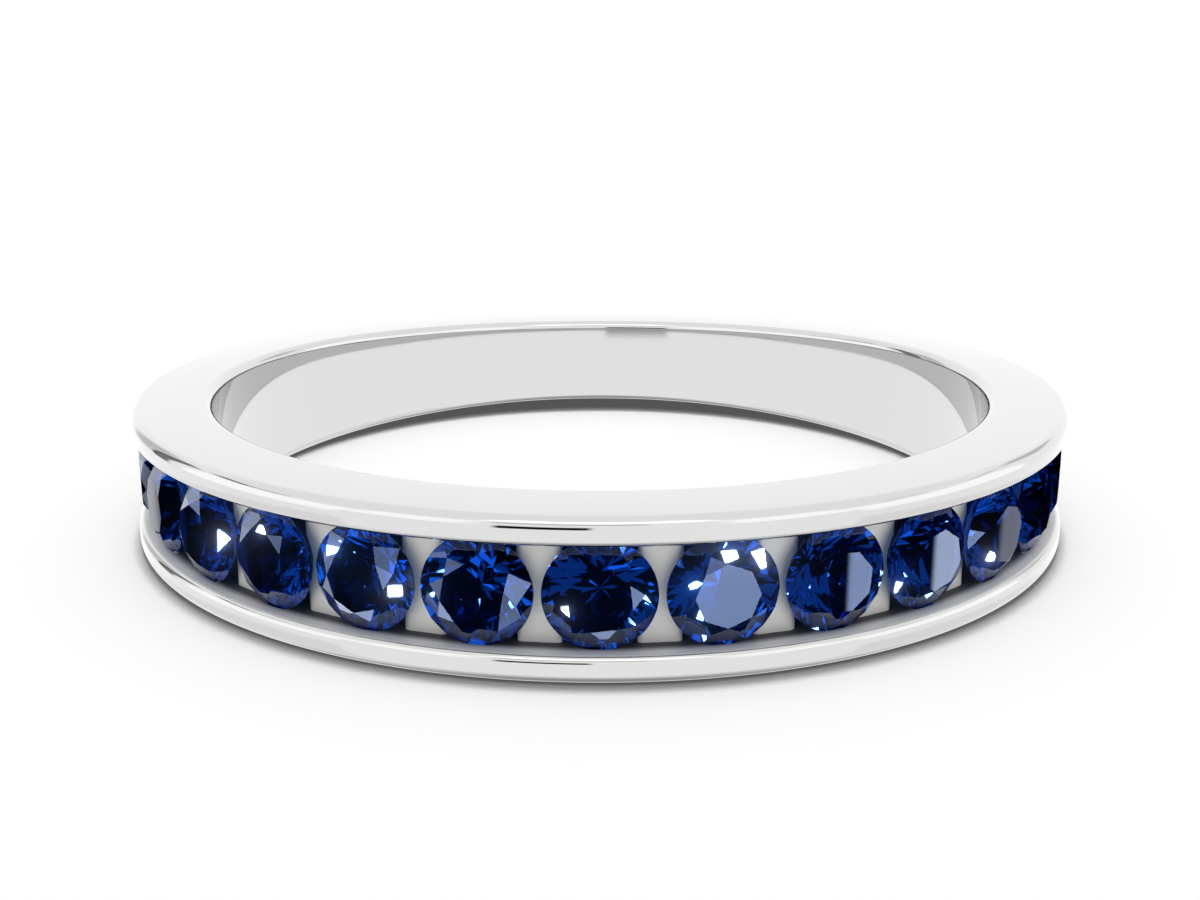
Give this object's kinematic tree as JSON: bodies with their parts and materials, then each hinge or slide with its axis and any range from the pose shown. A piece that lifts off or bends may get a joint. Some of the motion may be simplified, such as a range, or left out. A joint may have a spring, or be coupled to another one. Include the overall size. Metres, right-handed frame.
{
  "type": "half eternity ring",
  "caption": "Channel-set half eternity ring: round blue stones in a row between two plain rails, on a polished shank that narrows to the back.",
  "frame": {"origin": "on the axis of the finger hole, in the plane that the ring rests on when it lies on its side", "axes": "+Z along the axis of the finger hole, +X to the right of the middle stone as a viewer in front of it sees it, -Y from the axis through the middle stone"},
  "size_m": [0.0206, 0.0206, 0.0029],
  "materials": {
    "white_gold": "rhodium-bright white gold, mirror polished",
    "sapphire": "clear deep blue sapphire, round brilliant cut, polished facets"
  },
  "bodies": {
    "root": {"band": "white_gold", "stone_01": "sapphire", "stone_02": "sapphire", "stone_03": "sapphire", "stone_04": "sapphire", "stone_05": "sapphire", "stone_06": "sapphire", "stone_07": "sapphire", "stone_08": "sapphire", "stone_09": "sapphire", "stone_10": "sapphire", "stone_11": "sapphire", "stone_12": "sapphire", "stone_13": "sapphire", "stone_14": "sapphire", "stone_15": "sapphire"}
  },
  "joints": []
}
